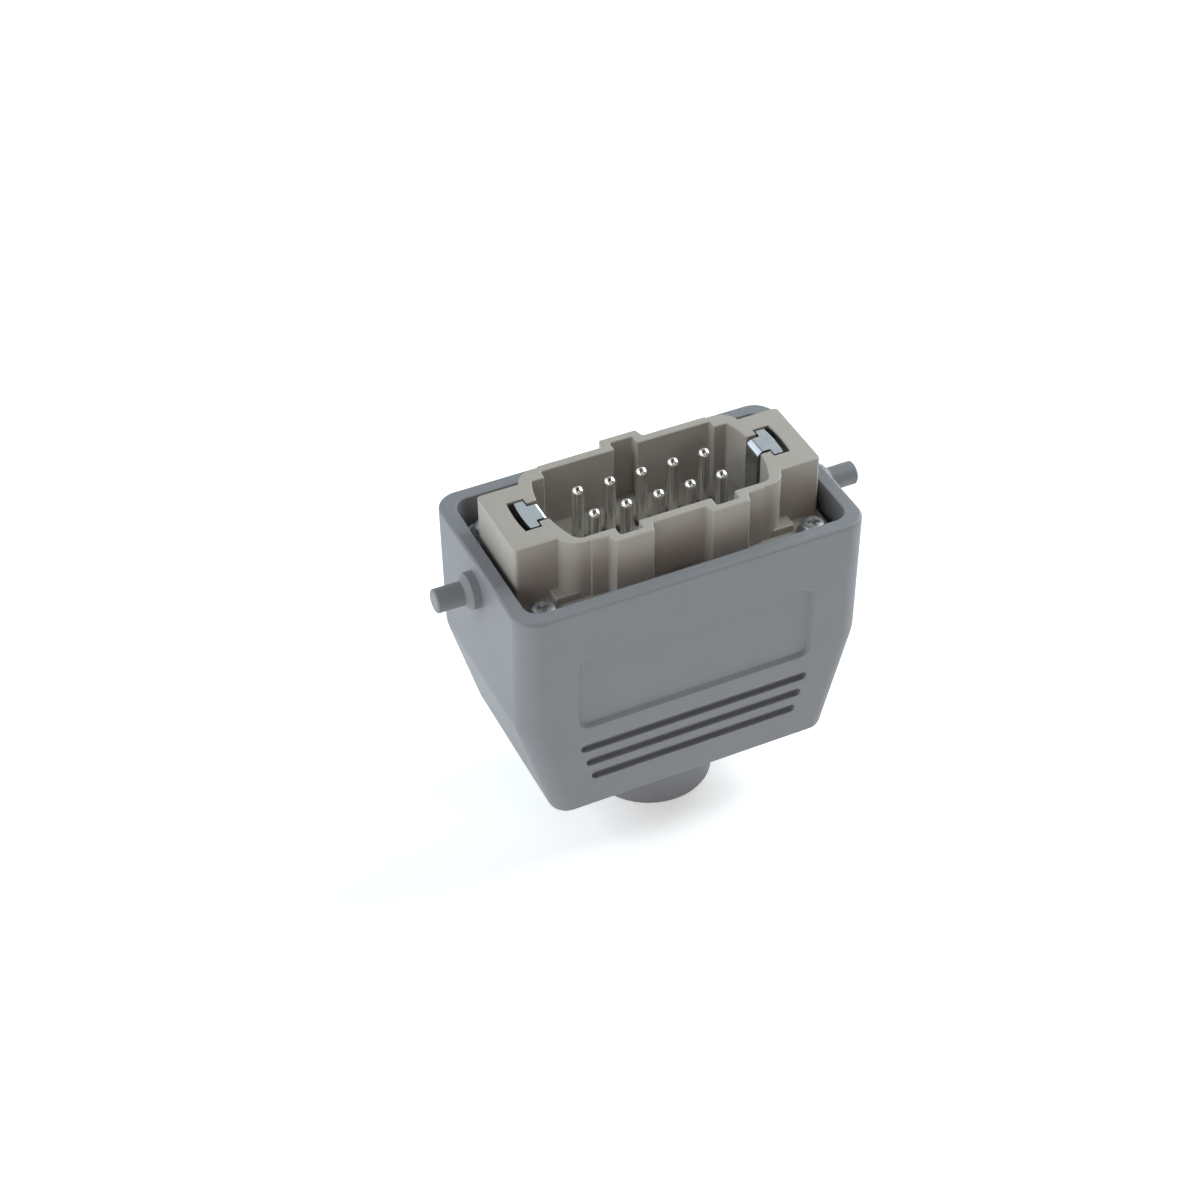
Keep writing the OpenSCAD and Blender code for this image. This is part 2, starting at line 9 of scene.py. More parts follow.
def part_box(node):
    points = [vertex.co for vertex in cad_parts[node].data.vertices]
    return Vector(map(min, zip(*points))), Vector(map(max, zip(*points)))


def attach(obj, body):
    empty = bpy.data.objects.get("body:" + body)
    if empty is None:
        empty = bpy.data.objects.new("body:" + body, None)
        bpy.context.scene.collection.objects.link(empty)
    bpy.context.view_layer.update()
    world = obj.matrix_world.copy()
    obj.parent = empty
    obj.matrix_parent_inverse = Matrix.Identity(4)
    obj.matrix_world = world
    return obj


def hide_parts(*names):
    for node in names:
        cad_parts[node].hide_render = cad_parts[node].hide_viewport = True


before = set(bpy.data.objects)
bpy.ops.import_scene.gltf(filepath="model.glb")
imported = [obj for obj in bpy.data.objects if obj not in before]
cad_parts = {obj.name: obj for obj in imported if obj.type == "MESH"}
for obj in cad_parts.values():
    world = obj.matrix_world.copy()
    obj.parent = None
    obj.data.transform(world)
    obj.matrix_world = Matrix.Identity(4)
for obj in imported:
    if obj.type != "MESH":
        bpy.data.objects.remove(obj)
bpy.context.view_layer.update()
mm = 0.001

# Hood. One aluminium die casting: drafted long walls, end walls that taper to a flat base, a round
# collar for the cable, two locking pegs and four inner pillars. It is powder coated after casting,
# and the core that leaves it hollow is drawn out through the mouth.
hood_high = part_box("hood")[1]
rim_z = hood_high.z
half_w = hood_high.y
peg_tip = hood_high.x
half_l = 36.5 * mm
wall = 3.1 * mm
corner_r = 4.8 * mm
base_corner_r = 3.6 * mm
inner_corner_r = 3 * mm
base_z = 15.5 * mm
base_edge = 0.6 * mm
floor_z = base_z + wall
floor_edge = 2 * mm
rim_edge_out = 0.75 * mm
rim_edge_in = 0.3 * mm
draft = math.radians(1)
turn_z = 39 * mm
turn_blend = 1.4 * mm
taper_run = 6.6 * mm
taper = math.atan(taper_run / (turn_z - base_z))
inner_turn_z = turn_z + wall * math.tan(taper / 2)
collar_r = 13.15 * mm
collar_root = 0.8 * mm
collar_edge = 0.5 * mm
thread_root_r = 10 * mm
mouth_chamfer = 0.2 * mm
mouth_r = thread_root_r + mouth_chamfer
CORNER_STEPS = 12
EDGE_STEPS = 4
TURN_STEPS = 6


def quarter_turn(steps):
    """Angles along a rounded edge, in even steps."""
    return [math.pi / 2 * i / steps for i in range(steps + 1)]


def full_turn(sides):
    """Angles of the corners of a round shape."""
    return [math.tau * i / sides for i in range(sides)]


def soft_turn(z):
    """Heights through the soft turn of the end walls, from above it to below it."""
    return [z + turn_blend * (1 - 2 * i / TURN_STEPS) for i in range(TURN_STEPS + 1)]


def depth_of_taper(z, inset):
    """Depth of height z below the turn of the end walls, which is a little soft."""
    below = turn_z + inset * math.tan(taper / 2) - z
    if below < -turn_blend:
        return 0
    if below < turn_blend:
        return (below + turn_blend) ** 2 / (4 * turn_blend)
    return below


def rounded_rect(half_x, half_y, r, steps=6):
    """Points of a rectangle around the middle, its corners rounded by r."""
    points = []
    for sx, sy, start in ((1, 1, 0), (-1, 1, 90), (-1, -1, 180), (1, -1, 270)):
        for i in range(steps + 1):
            a = math.radians(start + 90 * i / steps)
            points.append((sx * (half_x - r) + r * math.cos(a), sy * (half_y - r) + r * math.sin(a)))
    return points


def hood_ring(z, edge, inset):
    """Ring of the casting at height z, moved in by inset and by the rounding of an edge."""
    below = depth_of_taper(z, inset)
    top_r, base_r = (inner_corner_r, inner_corner_r / 2) if inset else (corner_r, base_corner_r)
    r = top_r - (top_r - base_r) * below / (turn_z - base_z) - edge
    half_x = half_l - inset - below * math.tan(taper) - edge
    half_y = half_w - (rim_z - z) * math.tan(draft) - inset - edge
    return [Vector((x, y, z)) for x, y in rounded_rect(half_x, half_y, r, CORNER_STEPS)]


def collar_ring(z, r):
    """Circle with as many points as a ring of the casting."""
    count = 4 * (CORNER_STEPS + 1)
    turns = [math.tau * (i + 0.5) / count for i in range(count)]
    return [Vector((r * math.cos(a), r * math.sin(a), z)) for a in turns]


def skin(bm, rings, skip=()):
    """Quads between closed rings of equal length; skip holds the (ring, point) pairs left open."""
    made = [[bm.verts.new(p) for p in ring] for ring in rings]
    for k, (a, b) in enumerate(zip(made, made[1:])):
        for i in range(len(a)):
            j = (i + 1) % len(a)
            if (k, i) not in skip:
                bm.faces.new((a[i], a[j], b[j], b[i]))
    return made


def fill(bm, *loops):
    """Flat face inside the first loop of vertices, with the other loops as its holes."""
    verts = [v for loop in loops for v in loop]
    for tri in tessellate_polygon([[v.co for v in loop] for loop in loops]):
        bm.faces.new([verts[i] for i in tri])


def new_object(name, bm):
    """Object from a mesh in work, with its faces turned outwards."""
    bmesh.ops.recalc_face_normals(bm, faces=bm.faces)
    mesh = bpy.data.meshes.new(name)
    bm.to_mesh(mesh)
    bm.free()
    made = bpy.data.objects.new(name, mesh)
    bpy.context.collection.objects.link(made)
    return made


def solid(name, rings):
    """Closed solid through rings of equal length."""
    bm = bmesh.new()
    made = skin(bm, rings)
    fill(bm, made[0])
    fill(bm, made[-1])
    return new_object(name, bm)


def arc(cx, cy, r, start, end, steps):
    """Points of an arc, as corners that need no rounding; angles in degrees."""
    turns = [math.radians(start + (end - start) * i / steps) for i in range(steps + 1)]
    return [(cx + r * math.cos(a), cy + r * math.sin(a), 0) for a in turns]


def soften(corners, steps=4):
    """Closed outline from (x, y, radius) corners, each rounded by its radius."""
    outline = []
    for i, (x, y, r) in enumerate(corners):
        point = Vector((x, y))
        if r == 0:
            outline.append(point)
            continue
        back = (Vector(corners[i - 1][:2]) - point).normalized()
        on = (Vector(corners[(i + 1) % len(corners)][:2]) - point).normalized()
        half = back.angle(on) / 2
        centre = point + (back + on).normalized() * (r / math.sin(half))
        first = point + back * (r / math.tan(half)) - centre
        last = point + on * (r / math.tan(half)) - centre
        sweep = math.atan2(first.cross(last), first.dot(last))
        outline += [centre + Matrix.Rotation(sweep * k / steps, 2) @ first for k in range(steps + 1)]
    return outline


def circle(cx, cy, r, sides=32):
    """Round outline about a centre."""
    return soften(arc(cx, cy, r, 0, 360 - 360 / sides, sides - 1))


def rectangle(x, y):
    """Outline between two values along x and two along y."""
    (x0, x1), (y0, y1) = sorted(x), sorted(y)
    return [Vector(p) for p in ((x0, y0), (x1, y0), (x1, y1), (x0, y1))]


def inset_loop(loop, depth):
    """Loop moved to its left by depth: into the material for an outline and for a reversed hole."""
    moved = []
    for i, point in enumerate(loop):
        before = (point - loop[i - 1]).normalized()
        after = (loop[(i + 1) % len(loop)] - point).normalized()
        n1, n2 = Vector((-before.y, before.x)), Vector((-after.y, after.x))
        moved.append(point + (n1 + n2) * (depth / (1 + n1.dot(n2))))
    return moved


def slab(name, outer, holes, low, high, soft_low=0, soft_high=0):
    """Upright solid between two heights from an outline and its holes, with soft rims."""
    levels = [(soft_low * (1 - math.sin(a)), low + soft_low * (1 - math.cos(a)))
              for a in (quarter_turn(3) if soft_low else [0])]
    levels += [(soft_high * (1 - math.cos(a)), high - soft_high * (1 - math.sin(a)))
               for a in (quarter_turn(3) if soft_high else [0])]
    bm = bmesh.new()
    ends = []
    for loop in [outer] + [hole[::-1] for hole in holes]:
        rings = [[p.to_3d() + Vector((0, 0, z)) for p in inset_loop(loop, d)] for d, z in levels]
        made = skin(bm, rings)
        ends.append((made[0], made[-1]))
    for end in zip(*ends):
        fill(bm, *end)
    return new_object(name, bm)


def bake_modifiers(piece):
    """Turns what the modifiers of a piece make into its plain mesh."""
    shape = piece.evaluated_get(bpy.context.evaluated_depsgraph_get())
    mesh = bpy.data.meshes.new_from_object(shape)
    piece.modifiers.clear()
    piece.data = mesh


def combine(piece, operation, *tools):
    """Joins tool shapes to a piece or cuts them out of it; the tools are used up."""
    for tool in tools:
        step = piece.modifiers.new("combine", "BOOLEAN")
        step.operation = operation
        step.solver = "MANIFOLD"
        step.object = tool
    bake_modifiers(piece)
    for tool in tools:
        bpy.data.objects.remove(tool)


def finish_surface(piece, material, sharp=38):
    """Smooth shading that keeps flat faces flat and edges over the given angle crisp."""
    mesh = piece.data
    mesh.materials.clear()
    mesh.materials.append(material)
    mesh.shade_smooth()
    mesh.set_sharp_from_angle(angle=math.radians(sharp))
    even = piece.modifiers.new("even normals", "WEIGHTED_NORMAL")
    even.keep_sharp = True
    bake_modifiers(piece)


def recess_loops(half_x, half_y, r, drop, depth, slope, lip, foot, turn):
    """Loops of a recess in a long wall, from its soft lip over the side to the edge of its floor."""
    steps = soften([(-half_y, 0, 0), (0, 0, lip), (slope, depth, foot), (half_y, depth, 0)])[1:-1]
    face = Matrix.Rotation(turn, 4, "Z") @ Matrix.Translation((0, -half_w, rim_z))
    face = face @ Matrix.Rotation(draft, 4, "X")
    loops = []
    for inset, sunk in steps:
        outline = rounded_rect(half_x - inset, half_y - inset, r - inset)
        loops.append([face @ Vector((x, sunk, y - drop)) for x, y in outline])
    return loops


label = {"half_x": 25.1 * mm, "half_y": 9.1 * mm, "r": 2.5 * mm, "drop": 21.4 * mm,
         "depth": 0.8 * mm, "slope": 0.75 * mm, "lip": 0.3 * mm, "foot": 0.12 * mm}
groove = {"half_x": 24.6 * mm, "half_y": 0.95 * mm, "r": 0.94 * mm, "drop": 35.9 * mm,
          "depth": 1.3 * mm, "slope": 0.1 * mm, "lip": 0.16 * mm, "foot": 0.3 * mm}
groove_pitch = 4.05 * mm
groove_shorter = 1.1 * mm
GROOVES = 3
recesses = [label]
for i in range(GROOVES):
    recesses.append({**groove, "half_x": groove["half_x"] - i * groove_shorter,
                     "drop": groove["drop"] + i * groove_pitch})

peg_z = rim_z - 6.5 * mm
peg_r = 2.4 * mm
peg_chamfer = 0.3 * mm
peg_tip_soft = 0.1 * mm
boss_r = 3.7 * mm
boss_end = half_l + 2.9 * mm
boss_cone = 1.1 * mm
boss_soft = 0.2 * mm
PEG_SIDES = 48
peg_profile = soften([
    (2 * boss_r, half_l, 0), (boss_r, half_l, boss_soft), (boss_r, boss_end - boss_cone, boss_soft),
    (peg_r, boss_end, boss_soft), (peg_r, peg_tip - peg_chamfer, peg_tip_soft),
    (peg_r - peg_chamfer, peg_tip, peg_tip_soft), (0, peg_tip, 0)])[1:-1]

rings = [hood_ring(rim_z - rim_edge_out * (1 - math.cos(a)), rim_edge_out * (1 - math.sin(a)), 0)
         for a in quarter_turn(EDGE_STEPS)]
wall_top = len(rings) - 1
rings += [hood_ring(z, 0, 0) for z in soft_turn(turn_z)]
rings += [hood_ring(base_z + base_edge * (1 - math.sin(a)), base_edge * (1 - math.cos(a)), 0)
          for a in quarter_turn(EDGE_STEPS)]
wall_foot = len(rings) - 1 - EDGE_STEPS
for a in quarter_turn(EDGE_STEPS):
    rings.append(collar_ring(base_z - collar_root * (1 - math.cos(a)),
                             collar_r + collar_root * (1 - math.sin(a))))
rings += [collar_ring(collar_edge * (1 - math.sin(a)), collar_r - collar_edge * (1 - math.cos(a)))
          for a in quarter_turn(EDGE_STEPS)]

# The flat of each wall is one column of faces, left open here for its recesses or its peg.
side = CORNER_STEPS + 1
long_columns = {0: 3 * side - 1, math.pi: side - 1}
end_columns = {1: 4 * side - 1, -1: 2 * side - 1}
open_faces = {(k, c) for c in long_columns.values() for k in range(wall_top, wall_foot)}
open_faces |= {(wall_top, c) for c in end_columns.values()}
bm = bmesh.new()
body = skin(bm, rings, open_faces)
fill(bm, body[0])
fill(bm, body[-1])
for turn, c in long_columns.items():
    border = [body[k][c] for k in range(wall_top, wall_foot + 1)]
    border += [body[k][c + 1] for k in range(wall_foot, wall_top - 1, -1)]
    holes = []
    for sizes in recesses:
        made = skin(bm, recess_loops(**sizes, turn=turn))
        fill(bm, made[-1])
        holes.append(made[0])
    fill(bm, border, *holes)
for s, c in end_columns.items():
    around = (c + 1) % (4 * side)
    border = [body[wall_top][c], body[wall_top + 1][c]]
    border += [body[wall_top + 1][around], body[wall_top][around]]
    made = skin(bm, [[Vector((s * x, r * math.cos(a), peg_z + r * math.sin(a))) for a in full_turn(PEG_SIDES)]
                     for r, x in peg_profile])
    fill(bm, made[-1])
    fill(bm, border, made[0])
hood = new_object("hood_casting", bm)

rings = [hood_ring(rim_z + wall, -rim_edge_in, wall)]
rings += [hood_ring(rim_z - rim_edge_in * (1 - math.cos(a)), -rim_edge_in * (1 - math.sin(a)), wall)
          for a in quarter_turn(EDGE_STEPS)]
rings += [hood_ring(z, 0, wall) for z in soft_turn(inner_turn_z)]
rings += [hood_ring(floor_z + floor_edge * (1 - math.sin(a)), floor_edge * (1 - math.cos(a)), wall)
          for a in quarter_turn(EDGE_STEPS)]
rings += [collar_ring(floor_z, mouth_r), collar_ring(floor_z - mouth_chamfer, thread_root_r),
          collar_ring(mouth_chamfer, thread_root_r), collar_ring(0, mouth_r), collar_ring(-wall, mouth_r)]
core = solid("core", rings)

seat_z = 57.6 * mm
fix_x = 28.5 * mm
fix_y = 13.5 * mm
pillar_half = 4 * mm
pillar_back = 12 * mm
pillar_hole = 1.55 * mm
pillars = []
for sx in (-1, 1):
    for sy in (-1, 1):
        outline = rectangle((sx * (fix_x - pillar_half), sx * (fix_x + pillar_back)),
                            (sy * (fix_y - pillar_half), sy * (fix_y + pillar_back)))
        hole = circle(sx * fix_x, sy * fix_y, pillar_hole, sides=24)
        pillars.append(slab("pillar", outline, [hole], 0, seat_z))
combine(core, "DIFFERENCE", *pillars)
combine(hood, "DIFFERENCE", core)


def linear(hex_colour):
    """Linear RGBA of an sRGB hex colour."""
    parts = [int(hex_colour[i:i + 2], 16) / 255 for i in (1, 3, 5)]
    return [c / 12.92 if c <= 0.04045 else ((c + 0.055) / 1.055) ** 2.4 for c in parts] + [1]


def add(tree, kind, inputs=(), **settings):
    """Adds a node with its settings; inputs are values or sockets to link from."""
    node = tree.nodes.new(kind)
    for key, value in settings.items():
        setattr(node, key, value)
    for socket, value in dict(inputs).items():
        if isinstance(value, bpy.types.NodeSocket):
            tree.links.new(value, node.inputs[socket])
        else:
            node.inputs[socket].default_value = value
    return node


def new_material(name, constants):
    """Node material with the constants of its shader, and the object coordinates for its patterns."""
    material = bpy.data.materials.new(name)
    material.use_nodes = True
    tree = material.node_tree
    tree.nodes.clear()
    shader = add(tree, "ShaderNodeBsdfPrincipled", constants)
    add(tree, "ShaderNodeOutputMaterial", {"Surface": shader.outputs[0]})
    place = add(tree, "ShaderNodeTexCoord").outputs["Object"]
    return material, tree, shader, place


def draw_finish(tree, shader, tint_by, tints, gloss_by, roughness, relief_by, strength, depth):
    """Tint between two colours, roughness in a range and a fine relief, each led by a pattern node."""
    tone = add(tree, "ShaderNodeMix", {"Factor": tint_by.outputs["Fac"], "A": linear(tints[0]),
                                       "B": linear(tints[1])}, data_type="RGBA")
    gloss = add(tree, "ShaderNodeMapRange", {"Value": gloss_by.outputs["Fac"], "To Min": roughness[0],
                                             "To Max": roughness[1]})
    relief = add(tree, "ShaderNodeBump", {"Height": relief_by.outputs["Fac"], "Strength": strength,
                                          "Distance": depth})
    tree.links.new(tone.outputs["Result"], shader.inputs["Base Color"])
    tree.links.new(gloss.outputs["Result"], shader.inputs["Roughness"])
    tree.links.new(relief.outputs["Normal"], shader.inputs["Normal"])


# Powder-coated die-cast aluminium: an even, satin blue-grey skin with a fine orange peel, a little
# cloudy where the coat is thicker, in clouds 9 mm wide. The peel is drawn 0.7 mm wide, coarser than
# real, so that it shows.
powder_coat, tree, shader, place = new_material("powder_coated_diecast_aluminium", {"IOR": 1.5})
cloud = add(tree, "ShaderNodeTexNoise", {"Vector": place, "Scale": 1 / (9 * mm), "Detail": 3})
peel = add(tree, "ShaderNodeTexNoise", {"Vector": place, "Scale": 1 / (0.7 * mm), "Detail": 2})
draw_finish(tree, shader, tint_by=cloud, tints=("#74757a", "#7a7b80"), gloss_by=peel, roughness=(0.46, 0.58),
            relief_by=peel, strength=0.25, depth=0.05 * mm)
finish_surface(hood, powder_coat)
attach(hood, "root")
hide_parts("hood")

# Entry thread. The gland screws into a metric thread of 1.5 mm pitch, cut into the collar after
# casting. It is a helix of sixty-degree teeth that ends clear of the mouth and of the relief.
thread_pitch = 1.5 * mm
thread_low = 1.2 * mm
thread_turns = 8.0
tooth_r = 0.87 * mm
tooth_tip_r = 9.2 * mm


def new_geometry_tree(name, **sockets):
    """Geometry node tree with one named input for each size, and those inputs."""
    tree = bpy.data.node_groups.new(name, "GeometryNodeTree")
    for socket, kind in sockets.items():
        tree.interface.new_socket(socket, in_out="INPUT", socket_type="NodeSocket" + kind)
    tree.interface.new_socket("Geometry", in_out="OUTPUT", socket_type="NodeSocketGeometry")
    return tree, add(tree, "NodeGroupInput").outputs


def end_tree(tree, geometry, material):
    """Closes a tree: copies become real, then they get their material."""
    real = add(tree, "GeometryNodeRealizeInstances", {"Geometry": geometry})
    dressed = add(tree, "GeometryNodeSetMaterial", {"Geometry": real.outputs[0], "Material": material})
    add(tree, "NodeGroupOutput", {"Geometry": dressed.outputs[0]})


def run_tree(name, tree, **values):
    """Plain mesh object that a geometry node tree makes from the given sizes."""
    made = bpy.data.objects.new(name, bpy.data.meshes.new(name))
    bpy.context.collection.objects.link(made)
    step = made.modifiers.new(name, "NODES")
    step.node_group = tree
    for item in tree.interface.items_tree:
        if item.in_out == "INPUT":
            step[item.identifier] = values[item.name]
    bake_modifiers(made)
    return made


thread_tree, size = new_geometry_tree("helical_thread", Pitch="Float", Turns="Float", Radius="Float",
                                      Tooth="Float", Low="Float", Finish="Material")
rise = add(thread_tree, "ShaderNodeMath", {0: size["Pitch"], 1: size["Turns"]}, operation="MULTIPLY")
path = add(thread_tree, "GeometryNodeCurveSpiral", {
    "Resolution": 64, "Rotations": size["Turns"], "Start Radius": size["Radius"],
    "End Radius": size["Radius"], "Height": rise.outputs[0]})
upright = add(thread_tree, "GeometryNodeSetCurveNormal", {"Curve": path.outputs[0]}, mode="Z_UP")
tooth = add(thread_tree, "GeometryNodeCurvePrimitiveCircle", {"Resolution": 3, "Radius": size["Tooth"]})
teeth = add(thread_tree, "GeometryNodeCurveToMesh", {
    "Curve": upright.outputs[0], "Profile Curve": tooth.outputs[0], "Fill Caps": True})
low = add(thread_tree, "ShaderNodeCombineXYZ", {"Z": size["Low"]})
placed = add(thread_tree, "GeometryNodeTransform", {
    "Geometry": teeth.outputs[0], "Translation": low.outputs[0]})
end_tree(thread_tree, placed.outputs[0], size["Finish"])
thread = run_tree("entry_thread", thread_tree, Pitch=thread_pitch, Turns=thread_turns,
                  Radius=tooth_tip_r + tooth_r, Tooth=tooth_r, Low=thread_low, Finish=powder_coat)
finish_surface(thread, powder_coat, sharp=50)
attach(thread, "root")

# Insert body. One moulding of warm grey polycarbonate: a flange that is screwed down in the hood,
# a keyed socket wall with two end blocks around the pins, and the terminal block below the flange.
insert_low, insert_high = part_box("insert_body")
top_z = insert_high.z
half_flange_l = insert_high.x
half_flange_w = insert_high.y
block_z = insert_low.z
flange_top = 62 * mm
flange_low = 58.5 * mm
flange_corner = 3 * mm
soft = 0.35 * mm
crisp = 0.15 * mm
edge_soft = 0.25 * mm
wall_out = 12.4 * mm
wall_in = 10.55 * mm
wall_end = 18 * mm
end_step = 0.4 * mm
end_x = 19.4 * mm
end_r = 4 * mm
end_y = wall_out - end_step - end_r
key_out = 14.5 * mm
key_in = 12.85 * mm
key_lean = 0.6 * mm
front_key = (5.5 * mm, 14.5 * mm)
front_slot = (7.6 * mm, 12.4 * mm)
back_key = 4.5 * mm
back_slot = 2.4 * mm
bend_r = 2 * mm
bend_x = 18.62 * mm
arc_x = -1.65 * mm
arc_r = 24 * mm
step_x = 20.76 * mm
step_y = 8.6 * mm
end_block = (23.3 * mm, 32 * mm)
end_block_half = 8.9 * mm
end_block_corner = 0.8 * mm
pad_x = (20.3 * mm, 25.2 * mm)
pad_y = (-12 * mm, -8 * mm)
pad_top = 63.5 * mm
terminal_half_l = 18.1 * mm
terminal_corner = 1 * mm
chamber_half = 2.8 * mm
chamber_out = 4.3 * mm
access_z = 51 * mm
access_r = 3.05 * mm
access_end = 14 * mm
neck_hole = 1.9 * mm
screw_hole = 1.7 * mm
pitch = 6.7 * mm
row_y = 3.75 * mm
COLUMNS = 5

# Shapes that are joined run into each other a little, and cutters run past what they cut.
overlap = 0.2 * mm
past = 1 * mm


def mirrored(right):
    """Outline that is the same left and right, from the corners of its right half."""
    return right + [(-x, y, r) for x, y, r in reversed(right)]


def box(name, x, y, z):
    """Plain block between two values along each axis."""
    return slab(name, rectangle(x, y), [], *sorted(z))


def contact_places():
    """Foot of every contact and the side to which its terminal screw faces."""
    for s in (-1, 1):
        for column in range(COLUMNS):
            yield s * (column - (COLUMNS - 1) / 2) * pitch, s * row_y, s


shroud_half = [(front_key[0], -wall_out, soft), (front_key[0] + key_lean, -key_out, soft),
               (front_key[1] - key_lean, -key_out, soft), (front_key[1], -wall_out, soft),
               (wall_end, -wall_out, crisp), (wall_end, end_step - wall_out, crisp)]
shroud_half += arc(end_x, -end_y, end_r, -90, -14, 8)
shroud_half += [(end_block[0], -end_block_half, 0), (end_block[1], -end_block_half, end_block_corner),
                (end_block[1], end_block_half, end_block_corner), (end_block[0], end_block_half, 0)]
shroud_half += arc(end_x, end_y, end_r, 14, 90, 8)
shroud_half += [(wall_end, wall_out - end_step, crisp), (wall_end, wall_out, crisp),
                (back_key, wall_out, soft), (back_key - key_lean, key_out, soft)]
socket_half = [(front_slot[0], -wall_in, soft), (front_slot[0], -key_in, soft),
               (front_slot[1], -key_in, soft), (front_slot[1], -wall_in, soft)]
socket_half += arc(bend_x, bend_r - wall_in, bend_r, -90, -26, 6)
socket_half += arc(arc_x, 0, arc_r, -22.5, 20, 16)
socket_half += [(step_x, step_y, soft), (wall_end, step_y, soft), (wall_end, wall_in, soft),
                (back_slot, wall_in, soft), (back_slot, key_in, soft)]
insert = slab("insert_moulding", soften(mirrored(shroud_half)), [soften(mirrored(socket_half))],
              flange_top - overlap, top_z, soft_high=edge_soft)

neck_holes = [circle(x, y, neck_hole) for x, y, s in contact_places()]
screw_holes = [circle(sx * fix_x, sy * fix_y, screw_hole) for sx in (-1, 1) for sy in (-1, 1)]
flange_outline = [Vector(p) for p in rounded_rect(half_flange_l, half_flange_w, flange_corner)]
flange = slab("flange", flange_outline, neck_holes + screw_holes, flange_low, flange_top,
              soft_low=edge_soft, soft_high=edge_soft)
chambers = [rectangle((x - chamber_half, x + chamber_half), (y - s * chamber_half, y + s * chamber_out))
            for x, y, s in contact_places()]
block_outline = [Vector(p) for p in rounded_rect(terminal_half_l, wall_out, terminal_corner)]
terminal_block = slab("terminal_block", block_outline, chambers, block_z, flange_low + overlap,
                      soft_low=edge_soft)
pads = []
for s in (-1, 1):
    corners = [(s * pad_x[0], pad_y[0], soft), (s * pad_x[1], pad_y[0], soft),
               (s * pad_x[1], pad_y[1], 0), (s * pad_x[0], pad_y[1], 0)]
    pads.append(slab("corner_pad", soften(corners[::s]), [], flange_top - overlap, pad_top,
                     soft_high=edge_soft))
combine(insert, "UNION", flange, terminal_block, *pads)

earth_x = 22.2 * mm
earth_head_r = 28.4 * mm
earth_sheet = 0.9 * mm
earth_top = top_z - 0.1 * mm
neck_gap = 2.95 * mm
head_gap = 4.5 * mm
leg_slot_x = (21 * mm, 23.2 * mm)
head_slot_x = 24.25 * mm
back_slot_w = 1.35 * mm
back_slot_z = top_z - 6 * mm
hollow_x = (22.9 * mm, 30.4 * mm)
hollow_half = 6.5 * mm
hollow_z = (flange_top + 0.6 * mm, top_z - 0.5 * mm)
cutters = []
for s in (-1, 1):
    head_room = [(leg_slot_x[0], -neck_gap, 0), (head_slot_x, -neck_gap, 0), (head_slot_x, -head_gap, 0)]
    head_room += arc(arc_x, 0, earth_head_r, -9.1, 9.1, 8)
    head_room += [(head_slot_x, head_gap, 0), (head_slot_x, neck_gap, 0), (leg_slot_x[0], neck_gap, 0)]
    behind_head = arc(arc_x, 0, earth_head_r - overlap / 2, 9.15, -9.15, 8)
    behind_head += arc(arc_x, 0, earth_head_r + back_slot_w, -8.75, 8.75, 8)
    for outline, low in ((head_room, earth_top - earth_sheet), (behind_head, back_slot_z)):
        turned = soften([(s * x, s * y, r) for x, y, r in outline])
        cutters.append(slab("earth_room", turned, [], low, top_z + past))
    cutters.append(box("leg_slot", [s * x for x in leg_slot_x], (-neck_gap, neck_gap),
                       (flange_low - past, top_z + past)))
    cutters.append(box("hollow", [s * x for x in hollow_x], (-hollow_half, hollow_half), hollow_z))
for x, y, s in contact_places():
    ring = [(x + access_r * math.cos(a), access_z + access_r * math.sin(a)) for a in full_turn(32)]
    cutters.append(solid("screw_access", [[Vector((across, along, z)) for across, z in ring]
                                          for along in (y, s * access_end)]))
combine(insert, "DIFFERENCE", *cutters)

# Moulded polycarbonate: warm light grey in clouds 6 mm wide, with a fine spark-eroded grain from the
# mould, so it is matt with a soft sheen. The grain is drawn 0.3 mm wide, coarser than real, so that
# it shows.
polycarbonate, tree, shader, place = new_material("moulded_polycarbonate", {"IOR": 1.58})
cloud = add(tree, "ShaderNodeTexNoise", {"Vector": place, "Scale": 1 / (6 * mm), "Detail": 2})
grain = add(tree, "ShaderNodeTexNoise", {"Vector": place, "Scale": 1 / (0.3 * mm), "Detail": 2})
draw_finish(tree, shader, tint_by=cloud, tints=("#9a938d", "#a19a94"), gloss_by=grain, roughness=(0.42, 0.56),
            relief_by=grain, strength=0.2, depth=0.02 * mm)
finish_surface(insert, polycarbonate)
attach(insert, "root")
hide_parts("insert_body")

# Contacts. Ten pins turned from copper alloy and silver plated, each in one piece with a barrel
# that takes the wire from below. They are pressed into the moulding up to their necks.
contact_low, contact_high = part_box("contact_pin_1")
tip_z = contact_high.z
tip_flat = 0.1 * mm
barrel_z = contact_low.z
pin_r = 1.25 * mm
neck_r = 1.8 * mm
neck_z = flange_top - 1.2 * mm
barrel_r = 2.7 * mm
barrel_soft = 0.2 * mm
box_half = 2.2 * mm
box_out = 4.2 * mm
box_soft = 0.3 * mm
wire_r = 1.6 * mm
wire_top = barrel_z + 11 * mm
clamp_r = 1.55 * mm
clamp_depth = 6 * mm


def lathe(name, profile, sides=40):
    """Turned solid from (radius, height) pairs, closed at both ends."""
    turns = full_turn(sides)
    return solid(name, [[Vector((r * math.cos(a), r * math.sin(a), z)) for a in turns] for r, z in profile])


def lay(piece, angle, axis, place=(0, 0, 0)):
    """Turns the mesh of a piece about an axis, in degrees, and moves it to its place."""
    piece.data.transform(Matrix.Translation(place) @ Matrix.Rotation(math.radians(angle), 4, axis))
    return piece


